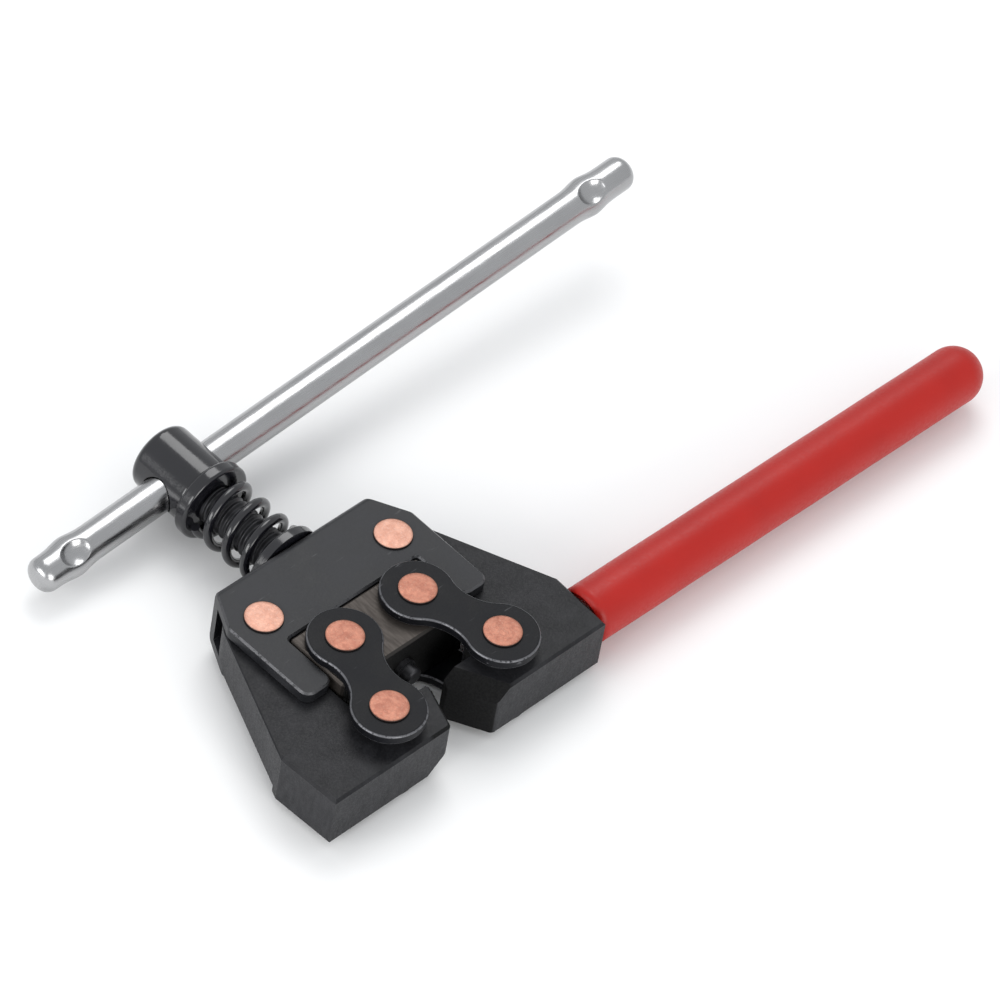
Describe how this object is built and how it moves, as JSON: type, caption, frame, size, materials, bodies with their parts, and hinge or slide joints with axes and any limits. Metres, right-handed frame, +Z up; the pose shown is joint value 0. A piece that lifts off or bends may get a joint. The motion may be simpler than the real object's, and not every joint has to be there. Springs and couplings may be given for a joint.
{
  "type": "roller chain breaker",
  "caption": "Two-jaw screw press that pushes a pin out of roller chain, with a sliding T-bar, a return spring and a dipped-grip side handle.",
  "frame": {"origin": "on the screw axis, where the chain's roller sits between the jaw tips", "axes": "+X along the pressure screw towards the open mouth, +Y towards the handle, +Z up on the side of the top links"},
  "size_m": [0.1131, 0.2399, 0.0312],
  "materials": {
    "black_oxide_plate": "black oxide on rolled plate, satin, lightly oiled",
    "black_oxide_forging": "black oxide on a forging, satin, faint scale texture",
    "nut_steel": "bare-machined steel, browned, semi-matt",
    "copper_face": "rivets: black sides, copper-washed hammered faces",
    "bright_steel": "bright zinc-nickel plate",
    "gloss_black": "gloss black enamel",
    "spring_steel": "black enamelled spring wire",
    "red_vinyl": "dipped red vinyl, smooth, soft sheen",
    "rod_steel": "plain turned steel",
    "screw_steel": "blackened screw thread"
  },
  "bodies": {
    "yoke": {"yoke": "black_oxide_plate", "spring_seat": "gloss_black", "return_spring": "spring_steel", "handle_pivot_pin": "copper_face", "plain_pivot_pin": "copper_face"},
    "nut_block": {"nut_block": "nut_steel", "handle_nut_pin": "copper_face", "plain_nut_pin": "copper_face"},
    "handle_links": {"handle_link_top": "black_oxide_plate", "handle_link_bottom": "black_oxide_plate"},
    "plain_links": {"plain_link_top": "black_oxide_plate", "plain_link_bottom": "black_oxide_plate"},
    "handle_jaw": {"handle_jaw": "black_oxide_forging", "handle_link_pin": "copper_face", "handle_link_spacer": "black_oxide_plate", "handle_rod": "rod_steel", "handle_grip": "red_vinyl"},
    "plain_jaw": {"plain_jaw": "black_oxide_forging", "plain_link_pin": "copper_face", "plain_link_spacer": "black_oxide_plate"},
    "collar": {"thrust_collar": "gloss_black"},
    "screw": {"screw_head": "gloss_black", "screw_spindle": "screw_steel", "press_pin": "rod_steel", "press_pin_screw": "screw_steel"},
    "bar": {"tommy_bar": "bright_steel"}
  },
  "joints": [
    {"name": "nut_slide", "type": "slide", "parent": "yoke", "child": "nut_block", "axis": [1, 0, 0], "range_m": [0, 0.0029], "stiffness_N_per_m": 1200, "springref_m": -0.004, "deforming": ["return_spring"]},
    {"name": "handle_jaw_pivot", "type": "hinge", "parent": "yoke", "child": "handle_jaw", "pos_m": [-0.0424, 0.0219, 0], "axis": [0, 0, 1], "range_deg": [-0.02, 9.08]},
    {"name": "plain_jaw_pivot", "type": "hinge", "parent": "yoke", "child": "plain_jaw", "pos_m": [-0.0424, -0.0219, 0], "axis": [0, 0, -1], "range_deg": [-0.02, 9.08]},
    {"name": "handle_link_pivot", "type": "hinge", "parent": "nut_block", "child": "handle_links", "pos_m": [-0.0241, 0.0123, 0], "axis": [0, 0, 1], "range_deg": [-0.02, 17.17]},
    {"name": "plain_link_pivot", "type": "hinge", "parent": "nut_block", "child": "plain_links", "pos_m": [-0.0241, -0.0123, 0], "axis": [0, 0, -1], "range_deg": [-0.02, 17.17]},
    {"name": "screw_advance", "type": "slide", "parent": "nut_block", "child": "collar", "axis": [1, 0, 0], "range_m": [0, 0.00727]},
    {"name": "screw_turn", "type": "hinge", "parent": "collar", "child": "screw", "pos_m": [-0.08, 0, 0], "axis": [1, 0, 0], "range_deg": [0, 1440]},
    {"name": "bar_slide", "type": "slide", "parent": "screw", "child": "bar", "axis": [0, 0.9957, 0.0924], "range_m": [-0.1255, 0.0205]}
  ],
  "couplings": [
    {"joint": "handle_jaw_pivot", "follows": "nut_slide", "rad_per_m": 54.55},
    {"joint": "plain_jaw_pivot", "follows": "nut_slide", "rad_per_m": 54.55},
    {"joint": "handle_link_pivot", "follows": "nut_slide", "rad_per_m": 103.2},
    {"joint": "plain_link_pivot", "follows": "nut_slide", "rad_per_m": 103.2},
    {"joint": "screw_advance", "follows": "screw_turn", "m_per_rad": 0.00028875}
  ]
}
